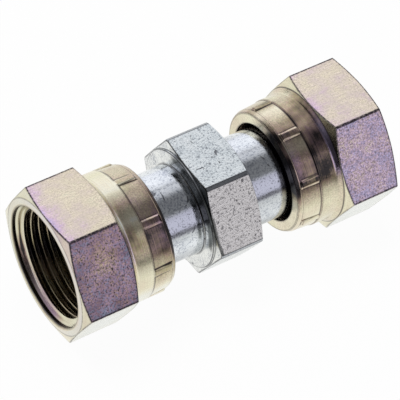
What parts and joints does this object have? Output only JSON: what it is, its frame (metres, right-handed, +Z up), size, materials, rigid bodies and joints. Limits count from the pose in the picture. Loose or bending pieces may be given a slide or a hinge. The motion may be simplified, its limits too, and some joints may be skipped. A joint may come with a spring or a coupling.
{
  "type": "o-ring face seal fitting",
  "caption": "Straight hydraulic union: bored body with a middle hexagon and flat sealing heads, each held in a captive hexagon swivel nut with a crimped collar.",
  "frame": {"origin": "middle of the body, on the axis of the bore", "axes": "+X along the bore to the right-hand nut, +Z up from the flats of the nuts that the fitting lies on"},
  "size_m": [0.0892, 0.0414, 0.036],
  "materials": {
    "silver_zinc": "steel with bright zinc plating, slightly blue, with small nicks",
    "yellow_zinc": "steel with yellow passivated zinc plating that shows lilac, cream and brown tints"
  },
  "bodies": {
    "body": {"union_body": "silver_zinc"},
    "left_nut": {"swivel_nut_left": "yellow_zinc"},
    "right_nut": {"swivel_nut_right": "yellow_zinc"}
  },
  "joints": [
    {"name": "left_nut_swivel", "type": "hinge", "parent": "body", "child": "left_nut", "pos_m": [-0.0285, 0, 0], "axis": [-1, 0, 0], "continuous": true},
    {"name": "right_nut_swivel", "type": "hinge", "parent": "body", "child": "right_nut", "pos_m": [0.0285, 0, 0], "axis": [1, 0, 0], "continuous": true}
  ]
}
